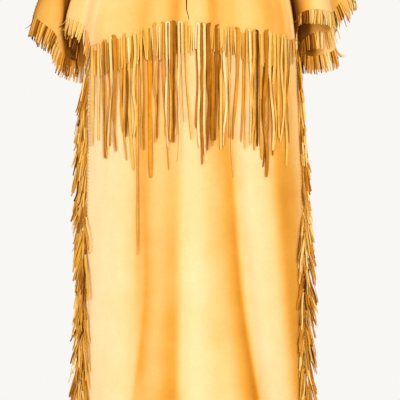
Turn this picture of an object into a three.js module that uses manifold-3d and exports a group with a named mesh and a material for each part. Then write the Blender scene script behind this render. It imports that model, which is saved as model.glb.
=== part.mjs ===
// Three-hide dress: two hides make the skirt and a third, cut in two along the shoulders, the cape-like yoke.
// Millimetres, +Z up, the front faces -Y. The origin is the middle of the shoulder line, where it is held.
// Heights are given as drops below that line, so z is minus the drop.
import * as THREE from 'three';
import { mergeVertices } from 'three/addons/utils/BufferGeometryUtils.js';
import Module from 'manifold-3d';

const wasm = await Module();
wasm.setup();

// ---- driving dimensions ----
const HIDE = 2; // thickness of a hide
const SEAM_GAP = 0.3; // clearance between two pieces sewn together
const HEM_DROP = 1290;
const SKIRT_TOP_DROP = 288; // top edge of the skirt hides, hidden under the yoke
const YOKE_LIFT = 6; // from the skirt's middle surface to the yoke's
const THONG_LIFT = 3; // the same for the strip of long thongs between them
const COLUMN_STEP = { front: 18, back: 26 }; // usual width of the facets round the yoke
const YOKE_ROWS = 8;
const SKIRT_COLUMNS = 30; // of the front, and as many of the back
const SKIRT_ROWS = 10;

// Neck opening and shoulder form, all half sizes
const NECK = { wide: 80, deep: 52, sideDrop: 12, frontDrop: 80, backDrop: 34 };
const SHOULDER = { wide: 222, front: 66, back: 60, sideDrop: 46, frontDrop: 112, backDrop: 84 };
// How far the yoke has come from the shoulder to its edge, in each direction, where it begins to hang.
const HANG = { wide: 0.8, deep: 0.85, drop: 0.34 };
const SLIT = { x: -16, endX: -14, topWidth: 9, endWidth: 3.2, endDrop: 283 };

// The skirt from top to hem: half width to either side of x = 0, and depth of the front and back.
const SKIRT_LEVELS = [
  { drop: 288, left: 257, right: 252, front: 58, back: 48 },
  { drop: 400, left: 261, right: 256, front: 60, back: 50 },
  { drop: 560, left: 264, right: 263, front: 61, back: 51 },
  { drop: 830, left: 268, right: 270, front: 64, back: 54 },
  { drop: 1000, left: 271, right: 270, front: 67, back: 57 },
  { drop: 1290, left: 278, right: 274, front: 72, back: 62 },
];

// Hanging folds: where each ridge runs at four drops, how far it stands out, and how wide its sides are.
const FOLD_DROPS = [330, 640, 960, 1290];
const FRONT_FOLDS = [
  { x: [-214, -218, -212, -206], height: [2, 2, 3, 5], leftSide: 24, rightSide: 30 },
  { x: [-94, -100, -98, -104], height: [5, 11, 9, 6], leftSide: 40, rightSide: 20 },
  { x: [-31, -31, -28, -36], height: [6, 8, 10, 17], leftSide: 34, rightSide: 14 },
  { x: [58, 94, 128, 166], height: [7, 15, 18, 22], leftSide: 48, rightSide: 16 },
  { x: [200, 230, 250, 264], height: [6, 13, 14, 12], leftSide: 36, rightSide: 14 },
];
const BACK_FOLDS = [
  { x: [-196, -206, -214, -222], height: [4, 8, 12, 12], leftSide: 16, rightSide: 30 },
  { x: [-104, -116, -130, -142], height: [7, 12, 16, 20], leftSide: 17, rightSide: 44 },
  { x: [-8, -14, -22, -34], height: [5, 10, 12, 15], leftSide: 30, rightSide: 18 },
  { x: [86, 96, 110, 128], height: [7, 12, 13, 18], leftSide: 42, rightSide: 17 },
  { x: [178, 196, 208, 214], height: [5, 10, 14, 12], leftSide: 30, rightSide: 16 },
];

// The yoke's edge, a row for each fold, clockwise from the left shoulder seam over the front.
// Angle is the direction in plan in which that rib leaves the neck. Where y is null the hide is on the skirt.
const FRONT_RIBS = [
  { angle: 180, x: -399, y: 8, drop: 272 },
  { angle: 186, x: -389, y: -30, drop: 274 },
  { angle: 192, x: -360, y: -54, drop: 296 },
  { angle: 197, x: -336, y: -50, drop: 318 },
  { angle: 201, x: -325, y: -32, drop: 358 },
  { angle: 205, x: -294, y: -4, drop: 377 },
  { angle: 209, x: -282, y: -26, drop: 350 },
  { angle: 213, x: -309, y: -54, drop: 286 },
  { angle: 217, x: -292, y: -74, drop: 286 },
  { angle: 221, x: -264, y: -74, drop: 304 },
  { angle: 225, x: -246, y: null, drop: 354 },
  { angle: 236, x: -194, y: null, drop: 331 },
  { angle: 246, x: -140, y: null, drop: 322 },
  { angle: 253, x: -108, y: null, drop: 306 },
  { angle: 262, x: -44, y: null, drop: 300 },
  { angle: 272, x: 20, y: null, drop: 304 },
  { angle: 288, x: 104, y: null, drop: 314 },
  { angle: 306, x: 180, y: null, drop: 321 },
  { angle: 315, x: 216, y: null, drop: 326 },
  { angle: 321, x: 242, y: -46, drop: 328 },
  { angle: 326, x: 246, y: -8, drop: 300 },
  { angle: 331, x: 254, y: -46, drop: 272 },
  { angle: 336, x: 276, y: -70, drop: 262 },
  { angle: 341, x: 306, y: -74, drop: 262 },
  { angle: 346, x: 332, y: -54, drop: 266 },
  { angle: 351, x: 342, y: -18, drop: 256 },
  { angle: 356, x: 368, y: -6, drop: 224 },
];
const BACK_RIBS = [
  { angle: 360, x: 394, y: 12, drop: 212 },
  { angle: 365, x: 366, y: 26, drop: 234 },
  { angle: 370, x: 334, y: 13, drop: 300 },
  { angle: 374, x: 298, y: 8, drop: 305 },
  { angle: 378, x: 266, y: 32, drop: 330 },
  { angle: 383, x: 286, y: 56, drop: 358 },
  { angle: 389, x: 338, y: 58, drop: 350 },
  { angle: 395, x: 356, y: 78, drop: 332 },
  { angle: 402, x: 318, y: 100, drop: 338 },
  { angle: 409, x: 268, y: 84, drop: 350 },
  { angle: 416, x: 226, y: null, drop: 350 },
  { angle: 434, x: 120, y: null, drop: 338 },
  { angle: 452, x: 0, y: null, drop: 332 },
  { angle: 470, x: -130, y: null, drop: 340 },
  { angle: 484, x: -222, y: null, drop: 352 },
  { angle: 492, x: -268, y: 74, drop: 384 },
  { angle: 500, x: -304, y: 66, drop: 374 },
  { angle: 508, x: -334, y: 64, drop: 334 },
  { angle: 517, x: -362, y: 54, drop: 300 },
  { angle: 527, x: -388, y: 32, drop: 278 },
];

// Fringes. Fill is the share of the pitch that a strand takes, the rest are shares of its length or width:
// how unevenly long it is, how much it droops, sways and narrows. Strands longer than bendOver bend half way.
const SHORT_FRINGE = {
  gap: 1.4, strip: 6, thick: 1.4, fill: 0.66,
  uneven: 0.08, droop: 0.4, sway: 0.05, narrowing: 0.24, standOff: 0.9, bendOver: 50,
};
// The yoke's edge in four stretches, from rib to rib.
const YOKE_FRINGES = [
  { name: 'sleeve_fringe_left', fromRib: 0, toRib: 8, pitch: 14, length: 42 },
  { name: 'yoke_fringe_front', fromRib: 8, toRib: 19, pitch: 14, length: 72 },
  { name: 'sleeve_fringe_right', fromRib: 19, toRib: 36, pitch: 16, length: 42 },
  { name: 'yoke_fringe_back', fromRib: 36, toRib: 47, pitch: 25, length: 46 },
];
const LONG_FRINGE = {
  strands: 46, gap: 2, strip: 12, start: -244, end: 222, thick: 1.3, fill: 0.6, narrowing: 0.25,
  length: 272, lengthVaries: 44, longestX: -134, longest: 530, drift: 8, standOff: 1.2,
};
const SIDE_FRINGE = {
  strands: 30, strip: 8, aboveHem: 6, thick: 1.3, fill: 0.3, length: 92, reach: 22, width: 5, layer: 2.4,
  lengthUneven: 0.12, reachUneven: 0.2, narrowing: 0.2, pastHem: 4, startLeft: 396, startRight: 348,
};
const SUEDE_ROUGHNESS = 0.95;
const HIDE_COLOURS = { skirt: 0xf0c27c, yoke: 0xf2c680, fringe: 0xe6b066, side: 0xc98f4a };

// ---- small helpers ----
const radians = THREE.MathUtils.degToRad;
const mix = THREE.MathUtils.lerp;
const vector = (x, y, z) => new THREE.Vector3(x, y, z);

// Smooth curve through the values at rising knots, flat beyond its ends.
function through(knots, values, at) {
  const last = knots.length - 1;
  if (at <= knots[0]) return values[0];
  if (at >= knots[last]) return values[last];
  const i = knots.findIndex((knot) => knot > at) - 1;
  const slope = (k) => {
    const a = Math.max(k - 1, 0);
    const b = Math.min(k + 1, last);
    return (values[b] - values[a]) / (knots[b] - knots[a]);
  };
  const span = knots[i + 1] - knots[i];
  const t = (at - knots[i]) / span;
  const rest = 1 - t;
  return values[i] * (1 + 2 * t) * rest * rest + values[i + 1] * t * t * (3 - 2 * t)
    + span * t * rest * (slope(i) * rest - slope(i + 1) * t);
}

// An uneven number from -1 to 1 for a strand's place and length.
function uneven(number, salt) {
  const wave = Math.sin(number * 12.9898 + salt * 78.233) * 43758.5453;
  return 2 * (wave - Math.floor(wave)) - 1;
}

// ---- surfaces ----
const LEVEL_DROPS = SKIRT_LEVELS.map((row) => row.drop);
const level = (name, drop) => through(LEVEL_DROPS, SKIRT_LEVELS.map((row) => row[name]), drop);

function foldHeight(folds, x, drop) {
  return folds.reduce((sum, fold) => {
    const from = x - through(FOLD_DROPS, fold.x, drop);
    const side = from < 0 ? fold.leftSide : fold.rightSide;
    return sum + through(FOLD_DROPS, fold.height, drop) / Math.cosh(from / side);
  }, 0);
}

// A point of the skirt's front (side -1) or back (side +1), moved out from it by lift.
function skirtPoint(side, x, drop, lift = 0) {
  const half = x < 0 ? level('left', drop) : level('right', drop);
  const across = Math.min(Math.abs(x) / half, 1);
  const depth = level(side < 0 ? 'front' : 'back', drop);
  const crown = 1 - across ** 3;
  const fade = 1 - across ** 8;
  const folds = foldHeight(side < 0 ? FRONT_FOLDS : BACK_FOLDS, x, drop) * fade;
  return vector(x, side * (depth * crown + folds + lift), -drop);
}

// A point of the yoke: a curve from the neck over the shoulder to the edge, for a rib at u from 0 up.
const RIBS = [...FRONT_RIBS, ...BACK_RIBS];
const RIB_KNOTS = [...RIBS.keys(), RIBS.length];
const around = (name, add = 0) => RIBS.map((rib) => rib[name]).concat(RIBS[0][name] + add);
const EDGE_X = around('x');
const EDGE_DROP = around('drop');
const EDGE_ANGLE = around('angle', 360);
const ON_SKIRT = RIBS.map((rib) => (rib.y === null ? 1 : 0)).concat(0);
const EDGE_Y = RIBS.map((rib) => {
  if (rib.y !== null) return rib.y;
  return skirtPoint(rib.angle < 360 ? -1 : 1, rib.x, rib.drop, YOKE_LIFT).y;
}).concat(RIBS[0].y);

function yokeEdge(u) {
  const x = through(RIB_KNOTS, EDGE_X, u);
  const drop = through(RIB_KNOTS, EDGE_DROP, u);
  const free = through(RIB_KNOTS, EDGE_Y, u);
  const lies = THREE.MathUtils.clamp(through(RIB_KNOTS, ON_SKIRT, u), 0, 1);
  const laid = skirtPoint(u < FRONT_RIBS.length ? -1 : 1, x, drop, YOKE_LIFT).y;
  return vector(x, mix(free, laid, lies), -drop);
}

function yokePoint(u, v) {
  const angle = radians(through(RIB_KNOTS, EDGE_ANGLE, u));
  const across = Math.cos(angle);
  const back = Math.sin(angle);
  const facing = back * back;
  const isFront = back < 0;
  const neckDrop = mix(NECK.sideDrop, isFront ? NECK.frontDrop : NECK.backDrop, facing);
  const shoulderDrop = mix(SHOULDER.sideDrop, isFront ? SHOULDER.frontDrop : SHOULDER.backDrop, facing);
  const shoulderDeep = isFront ? SHOULDER.front : SHOULDER.back;
  const neck = vector(NECK.wide * across, NECK.deep * back, -neckDrop);
  const shoulder = vector(SHOULDER.wide * across, shoulderDeep * back, -shoulderDrop);
  const edge = yokeEdge(u);
  const hang = vector(
    mix(shoulder.x, edge.x, HANG.wide),
    mix(shoulder.y, edge.y, HANG.deep),
    mix(shoulder.z, edge.z, HANG.drop),
  );
  return new THREE.CubicBezierCurve3(neck, shoulder, hang, edge).getPoint(v);
}

// ---- solids ----
function solidMesh(name, points, triangles, colour) {
  const geometry = new THREE.BufferGeometry().setFromPoints(points);
  geometry.setIndex(triangles);
  geometry.computeVertexNormals();
  const finish = { color: colour, roughness: SUEDE_ROUGHNESS, metalness: 0 };
  const material = new THREE.MeshStandardMaterial(finish);
  const mesh = new THREE.Mesh(geometry, material);
  mesh.name = name;
  return mesh;
}

// A wall of hide between columns first and last of a grid of middle points, with normals of the whole grid,
// so that two pieces that share a seam have the same end face there.
function hideWall(name, grid, first, last, colour) {
  const rows = grid[0].length;
  const columns = last - first + 1;
  const outer = [];
  const inner = [];
  for (let i = first; i <= last; i += 1) {
    for (let j = 0; j < rows; j += 1) {
      const { point, normal, along } = grid[i][j];
      let inset = 0;
      if (i === first) inset = SEAM_GAP / 2;
      if (i === last) inset = -SEAM_GAP / 2;
      const middle = point.clone().addScaledVector(along, inset);
      outer.push(middle.clone().addScaledVector(normal, HIDE / 2));
      inner.push(middle.clone().addScaledVector(normal, -HIDE / 2));
    }
  }
  const shift = outer.length;
  const at = (i, j) => i * rows + j;
  const triangles = [];
  const quad = (a, b, c, d) => triangles.push(a, b, c, a, c, d);
  for (let i = 0; i < columns - 1; i += 1) {
    for (let j = 0; j < rows - 1; j += 1) {
      quad(at(i, j), at(i, j + 1), at(i + 1, j + 1), at(i + 1, j));
      quad(shift + at(i, j), shift + at(i + 1, j), shift + at(i + 1, j + 1), shift + at(i, j + 1));
    }
    quad(at(i, 0), at(i + 1, 0), shift + at(i + 1, 0), shift + at(i, 0));
    quad(at(i + 1, rows - 1), at(i, rows - 1), shift + at(i, rows - 1), shift + at(i + 1, rows - 1));
  }
  for (let j = 0; j < rows - 1; j += 1) {
    quad(at(0, j + 1), at(0, j), shift + at(0, j), shift + at(0, j + 1));
    const here = at(columns - 1, j);
    quad(here, here + 1, shift + here + 1, shift + here);
  }
  return solidMesh(name, [...outer, ...inner], triangles, colour);
}

// Middle points of a closed surface with their normals and directions round it, both from their neighbours.
function closedGrid(columns, rows, pointAt) {
  const points = Array.from({ length: columns }, (_, i) => (
    Array.from({ length: rows }, (__, j) => pointAt(i, j))
  ));
  const grid = points.map((column, i) => column.map((point, j) => {
    const before = points[(i + columns - 1) % columns][j];
    const after = points[(i + 1) % columns][j];
    const above = column[Math.max(j - 1, 0)];
    const below = column[Math.min(j + 1, rows - 1)];
    const along = after.clone().sub(before).normalize();
    const down = below.clone().sub(above).normalize();
    return { point, along, normal: down.clone().cross(along).normalize() };
  }));
  return [...grid, grid[0]];
}

// A comb: a narrow strip between two rails, and a strand from each stretch of its lower rail that has one.
// Each rail has the strip's top and low point, its normal, and any strand that starts there.
function comb(name, rails, thick, strandRings, colour) {
  const positions = [];
  const triangles = [];
  const quad = (a, b, c, d) => triangles.push(a, b, c, a, c, d);
  const pair = (point, normal) => {
    positions.push(point.clone().addScaledVector(normal, thick / 2));
    positions.push(point.clone().addScaledVector(normal, -thick / 2));
    return positions.length - 2;
  };
  const tops = rails.map((rail) => pair(rail.top, rail.normal));
  const lows = rails.map((rail) => pair(rail.low, rail.normal));
  const wrap = (l, r, lowL, lowR) => {
    quad(l, lowL, lowR, r);
    quad(l + 1, r + 1, lowR + 1, lowL + 1);
  };
  for (let k = 0; k < rails.length - 1; k += 1) {
    wrap(tops[k], tops[k + 1], lows[k], lows[k + 1]);
    quad(tops[k], tops[k + 1], tops[k + 1] + 1, tops[k] + 1);
    let left = lows[k];
    let right = lows[k + 1];
    const rings = rails[k].strand === undefined ? [] : strandRings(rails[k].strand, rails[k], rails[k + 1]);
    rings.forEach((ring) => {
      const nextLeft = pair(ring.left, ring.normal);
      const nextRight = pair(ring.right, ring.normal);
      wrap(left, right, nextLeft, nextRight);
      quad(left, left + 1, nextLeft + 1, nextLeft);
      quad(right + 1, right, nextRight, nextRight + 1);
      left = nextLeft;
      right = nextRight;
    });
    quad(right, left, left + 1, right + 1);
  }
  const end = rails.length - 1;
  quad(tops[0] + 1, lows[0] + 1, lows[0], tops[0]);
  quad(tops[end], lows[end], lows[end] + 1, tops[end] + 1);
  return solidMesh(name, positions, triangles, colour);
}

// ---- yoke ----
// Columns stand on every rib, with more between ribs that are far apart.
const yokeColumns = [];
for (let row = 0; row < RIBS.length; row += 1) {
  const usual = row < FRONT_RIBS.length ? COLUMN_STEP.front : COLUMN_STEP.back;
  const steps = Math.max(1, Math.round(yokeEdge(row).distanceTo(yokeEdge(row + 0.9999)) / usual));
  for (let k = 0; k < steps; k += 1) yokeColumns.push(row + k / steps);
}
const yokeGrid = closedGrid(
  yokeColumns.length,
  YOKE_ROWS + 1,
  (i, j) => yokePoint(yokeColumns[i], j / YOKE_ROWS),
);
const seamColumn = yokeColumns.indexOf(FRONT_RIBS.length);
const yokeWholeFront = hideWall('yoke_front', yokeGrid, 0, seamColumn, HIDE_COLOURS.yoke);
const yokeBack = hideWall('yoke_back', yokeGrid, seamColumn, yokeColumns.length, HIDE_COLOURS.yoke);

function toManifold(geometry) {
  const bare = geometry.clone();
  bare.deleteAttribute('normal');
  const merged = mergeVertices(bare, 1e-4);
  return new wasm.Manifold(new wasm.Mesh({
    numProp: 3,
    vertProperties: merged.attributes.position.array,
    triVerts: new Uint32Array(merged.index.array),
  }));
}

// The neck slit runs down the front, a little to the left of the middle, and narrows to a round end.
function cutSlit(mesh) {
  const top = SLIT.topWidth / 2;
  const end = SLIT.endWidth / 2;
  const outline = new THREE.Shape();
  outline.moveTo(SLIT.x - top, -NECK.sideDrop);
  outline.lineTo(SLIT.endX - end, -SLIT.endDrop + end);
  outline.absarc(SLIT.endX, -SLIT.endDrop + end, end, Math.PI, 2 * Math.PI, false);
  outline.lineTo(SLIT.x + top, -NECK.sideDrop);
  const depth = 3 * SHOULDER.front; // well past the front of the yoke
  const blade = new THREE.ExtrudeGeometry(outline, { depth, bevelEnabled: false, curveSegments: 4 });
  blade.rotateX(Math.PI / 2);
  blade.deleteAttribute('uv');
  const cut = toManifold(mesh.geometry).subtract(toManifold(blade)).getMesh();
  const geometry = new THREE.BufferGeometry();
  geometry.setAttribute('position', new THREE.BufferAttribute(cut.vertProperties, 3));
  geometry.setIndex(new THREE.BufferAttribute(cut.triVerts, 1));
  mesh.geometry = geometry;
  return mesh;
}
const yokeFront = cutSlit(yokeWholeFront);

// ---- short fringe, cut in the yoke's own edge ----
// The strip follows the facets of the yoke's wall, and each facet carries one or more strands of its own.
function edgeRail(column, part, shift) {
  const here = yokeGrid[column];
  const next = yokeGrid[column + 1];
  const edge = here[YOKE_ROWS];
  const point = edge.point.clone().lerp(next[YOKE_ROWS].point, part).addScaledVector(edge.along, shift);
  const normal = edge.normal.clone().lerp(next[YOKE_ROWS].normal, part).normalize();
  const above = here[YOKE_ROWS - 1].point.clone().lerp(next[YOKE_ROWS - 1].point, part);
  const down = point.clone().sub(above).normalize();
  const top = point.clone().addScaledVector(down, SHORT_FRINGE.gap);
  const rib = mix(yokeColumns[column], yokeColumns[column + 1] ?? RIBS.length, part);
  return { top, low: top.clone().addScaledVector(down, SHORT_FRINGE.strip), normal, down, rib };
}

function yokeFringe({ name, fromRib, toRib, pitch, length }) {
  const from = yokeColumns.indexOf(fromRib);
  const to = toRib === RIBS.length ? yokeColumns.length : yokeColumns.indexOf(toRib);
  const rails = [];
  let strands = 0;
  for (let i = from; i < to; i += 1) {
    const wide = yokeGrid[i][YOKE_ROWS].point.distanceTo(yokeGrid[i + 1][YOKE_ROWS].point);
    const count = Math.max(1, Math.round(wide / pitch));
    rails.push(edgeRail(i, 0, i === from ? SEAM_GAP / 2 : 0));
    for (let k = 0; k < count; k += 1) {
      rails.push({ ...edgeRail(i, (k + (1 - SHORT_FRINGE.fill) / 2) / count, 0), strand: strands });
      rails.push(edgeRail(i, (k + (1 + SHORT_FRINGE.fill) / 2) / count, 0));
      strands += 1;
    }
  }
  rails.push(edgeRail(to - 1, 1, -SEAM_GAP / 2));
  const strand = (k, a, b) => strandOfEdge(k, a, b, length);
  return comb(name, rails, SHORT_FRINGE.thick, strand, HIDE_COLOURS.fringe);
}

// A strand of the yoke's edge falls along the hide, then straight down, over the skirt where the hide lies.
function strandOfEdge(number, a, b, length) {
  const { droop, sway, narrowing, standOff, bendOver } = SHORT_FRINGE;
  const full = length * (1 + SHORT_FRINGE.uneven * uneven(number, 1));
  const down = a.down.clone().add(b.down).normalize();
  const normal = a.normal.clone().add(b.normal).normalize();
  const along = b.low.clone().sub(a.low);
  const root = a.low.clone().add(b.low).multiplyScalar(0.5);
  const lies = THREE.MathUtils.clamp(through(RIB_KNOTS, ON_SKIRT, (a.rib + b.rib) / 2), 0, 1);
  const side = a.rib < FRONT_RIBS.length ? -1 : 1;
  const rings = full > bendOver ? [0.5, 1] : [1];
  return rings.map((part) => {
    const middle = root.clone().addScaledVector(down, full * part * (1 - droop * part));
    middle.add(vector(0, 0, -droop * full * part * part));
    middle.addScaledVector(along.clone().normalize(), sway * full * part * uneven(number, 2));
    middle.addScaledVector(normal, standOff * part);
    const half = along.clone().multiplyScalar((1 - narrowing * part) / 2);
    const ends = [middle.clone().sub(half), middle.clone().add(half)];
    const [left, right] = ends.map((end) => {
      const laid = skirtPoint(side, end.x, -end.z, YOKE_LIFT + part);
      return end.lerp(laid, lies * lies);
    });
    return { left, right, normal };
  });
}

// ---- long thongs under the front edge ----
const laidRibs = FRONT_RIBS.filter((rib) => rib.y === null);
const frontEdgeDrop = (x) => through(laidRibs.map((rib) => rib.x), laidRibs.map((rib) => rib.drop), x);

function longFringe() {
  const { strands, gap, strip, start, end, thick, fill, length, longest, longestX } = LONG_FRINGE;
  const pitch = (end - start) / strands;
  const rail = (x, strand) => {
    const drop = frontEdgeDrop(x) - strip - gap;
    const top = skirtPoint(-1, x, drop, THONG_LIFT);
    const low = skirtPoint(-1, x, drop + strip, THONG_LIFT);
    return { x, drop, top, low, normal: vector(0, -1, 0), strand };
  };
  const rails = [rail(start)];
  for (let k = 0; k < strands; k += 1) {
    rails.push(rail(start + pitch * (k + (1 - fill) / 2), k));
    rails.push(rail(start + pitch * (k + (1 + fill) / 2)));
  }
  rails.push(rail(end));
  const strandRings = (k, a, b) => {
    const x = (a.x + b.x) / 2;
    const isLongest = Math.abs(x - longestX) < pitch / 2;
    const full = isLongest ? longest : length + LONG_FRINGE.lengthVaries * uneven(k, 3);
    const half = (b.x - a.x) / 2;
    const root = (a.drop + b.drop) / 2 + strip;
    return [1 / 3, 2 / 3, 1].map((part) => {
      const drop = root + full * part;
      const centre = x + LONG_FRINGE.drift * uneven(k, 4) * part * part;
      const width = half * (1 - LONG_FRINGE.narrowing * part);
      const lift = THONG_LIFT + LONG_FRINGE.standOff * part;
      return {
        left: skirtPoint(-1, centre - width, drop, lift),
        right: skirtPoint(-1, centre + width, drop, lift),
        normal: vector(0, -1, 0),
      };
    });
  };
  return comb('long_fringe_front', rails, thick, strandRings, HIDE_COLOURS.fringe);
}

// ---- fringed welts in the side seams ----
function sideFringe(name, side, startDrop) {
  const { strands, strip, fill, length, reach, narrowing } = SIDE_FRINGE;
  const endDrop = HEM_DROP - SIDE_FRINGE.aboveHem;
  const pitch = (endDrop - startDrop) / strands;
  const seam = (drop) => side * (level(side < 0 ? 'left' : 'right', drop) + HIDE);
  const rail = (drop, strand) => {
    const x = seam(drop);
    const top = vector(x, 0, -drop);
    const low = vector(x + side * strip, 0, -drop);
    return { drop, top, low, normal: vector(0, side, 0), strand };
  };
  const rails = [rail(startDrop)];
  for (let k = 0; k < strands; k += 1) {
    rails.push(rail(startDrop + pitch * (k + (1 - fill) / 2), k));
    rails.push(rail(startDrop + pitch * (k + (1 + fill) / 2)));
  }
  rails.push(rail(endDrop));
  const strandRings = (k, a, b) => {
    const root = a.low.clone().add(b.low).multiplyScalar(0.5);
    const longest = HEM_DROP + SIDE_FRINGE.pastHem - a.drop;
    const full = Math.min(length * (1 + SIDE_FRINGE.lengthUneven * uneven(k, 5)), longest);
    const out = reach * (1 + SIDE_FRINGE.reachUneven * uneven(k, 6)) * full / length;
    const layer = k % 2 ? SIDE_FRINGE.layer : -SIDE_FRINGE.layer;
    return [{ over: 0.55, under: 0.4 }, { over: 1, under: 1 }].map(({ over, under }) => {
      const middle = root.clone().add(vector(side * out * over, layer * over, -full * under));
      const half = SIDE_FRINGE.width / 2 * (1 - narrowing * under);
      const tilt = vector(side * half, 0, half * (1 - under));
      return { left: middle.clone().add(tilt), right: middle.clone().sub(tilt), normal: vector(0, side, 0) };
    });
  };
  return comb(name, rails, SIDE_FRINGE.thick, strandRings, HIDE_COLOURS.side);
}

// ---- skirt ----
const skirtGrid = closedGrid(2 * SKIRT_COLUMNS, SKIRT_ROWS + 1, (i, j) => {
  const drop = mix(SKIRT_TOP_DROP, HEM_DROP, j / SKIRT_ROWS);
  const isFront = i < SKIRT_COLUMNS;
  const turn = (i % SKIRT_COLUMNS) / SKIRT_COLUMNS;
  const across = isFront ? 2 * turn - 1 : 1 - 2 * turn;
  return skirtPoint(isFront ? -1 : 1, across * level(across < 0 ? 'left' : 'right', drop), drop);
});

// ---- the dress ----
const dress = new THREE.Group();
dress.add(
  hideWall('skirt_front', skirtGrid, 0, SKIRT_COLUMNS, HIDE_COLOURS.skirt),
  hideWall('skirt_back', skirtGrid, SKIRT_COLUMNS, 2 * SKIRT_COLUMNS, HIDE_COLOURS.skirt),
  yokeFront,
  yokeBack,
  ...YOKE_FRINGES.map(yokeFringe),
  longFringe(),
  sideFringe('side_fringe_left', -1, SIDE_FRINGE.startLeft),
  sideFringe('side_fringe_right', 1, SIDE_FRINGE.startRight),
);

export default dress;
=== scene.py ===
import math

import bmesh
import bpy
import numpy as np
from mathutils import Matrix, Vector


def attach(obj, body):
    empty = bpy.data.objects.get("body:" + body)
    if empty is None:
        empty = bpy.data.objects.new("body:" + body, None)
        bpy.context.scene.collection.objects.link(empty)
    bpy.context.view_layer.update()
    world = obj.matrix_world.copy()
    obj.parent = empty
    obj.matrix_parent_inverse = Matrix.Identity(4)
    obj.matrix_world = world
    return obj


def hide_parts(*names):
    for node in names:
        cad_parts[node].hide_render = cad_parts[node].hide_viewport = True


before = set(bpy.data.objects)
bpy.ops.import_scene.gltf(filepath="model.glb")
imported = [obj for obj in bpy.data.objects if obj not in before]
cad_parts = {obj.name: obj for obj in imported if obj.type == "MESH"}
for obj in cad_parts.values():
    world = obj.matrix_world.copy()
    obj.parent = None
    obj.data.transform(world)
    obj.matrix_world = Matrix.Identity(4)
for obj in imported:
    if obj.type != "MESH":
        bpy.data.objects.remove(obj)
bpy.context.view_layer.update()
scene = bpy.context.scene
mm = 0.001  # sizes below are in millimetres, and meshes are made in metres


# small helpers
def through(knots, values, at):  # smooth curve through the values, flat past both ends
    knots = np.asarray(knots, float)
    values = np.asarray(values, float)
    last = len(knots) - 1
    at = np.clip(np.asarray(at, float), knots[0], knots[-1])
    i = np.clip(np.searchsorted(knots, at, side="right") - 1, 0, last - 1)
    before = np.maximum(np.arange(last + 1) - 1, 0)
    after = np.minimum(np.arange(last + 1) + 1, last)
    slope = (values[after] - values[before]) / (knots[after] - knots[before])
    span = knots[i + 1] - knots[i]
    t = (at - knots[i]) / span
    rest = 1 - t
    ends = values[i] * (1 + 2 * t) * rest**2 + values[i + 1] * t**2 * (3 - 2 * t)
    return ends + span * t * rest * (slope[i] * rest - slope[i + 1] * t)


def blend(a, b, part):
    return a + (b - a) * part


def ease(low, high, at):  # 0 to 1, soft at both ends
    t = np.clip((at - low) / (high - low), 0, 1)
    return t * t * (3 - 2 * t)


def unit(v):
    return v / np.maximum(np.linalg.norm(v, axis=-1, keepdims=True), 1e-9)


def lumps(x, z, size, seed):  # soft unevenness from about -1 to 1, with humps about that many mm across
    made = np.random.default_rng(seed)
    total = 0
    for turn, phase, stretch in made.uniform((0, 0, 0.7), (math.tau, math.tau, 1.5), (10, 3)):
        along = x * math.cos(turn) + z * math.sin(turn)
        total = total + np.sin(along * math.pi / (size * stretch) + phase)
    return total / 5


def meshObject(name, points, faces=(), edges=(), values={}):
    mesh = bpy.data.meshes.new(name)
    mesh.from_pydata((np.asarray(points).reshape(-1, 3) * mm).tolist(), list(edges), list(faces))
    for key, data in values.items():  # values kept on the points, for materials and node trees
        data = np.asarray(data, np.float32)
        kind, field = ("FLOAT", "value") if data.ndim == 1 else ("FLOAT_VECTOR", "vector")
        mesh.attributes.new(key, kind, "POINT").data.foreach_set(field, data.ravel())
    mesh.update()
    made = bpy.data.objects.new(name, mesh)
    scene.collection.objects.link(made)
    return made


# node helper and materials
def linear(hexColour):
    parts = [int(hexColour[i:i + 2], 16) / 255 for i in (1, 3, 5)]
    return [p / 12.92 if p <= 0.04045 else ((p + 0.055) / 1.055) ** 2.4 for p in parts] + [1]


# a node with its settings, and with sockets given as values or as links
def add(tree, kind, settings={}, links={}):
    made = tree.nodes.new(kind)
    for key, value in settings.items():
        setattr(made, key, value)
    for key, value in links.items():
        if isinstance(value, bpy.types.NodeSocket):
            tree.links.new(value, made.inputs[key])
        else:
            made.inputs[key].default_value = value
    return made


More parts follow.
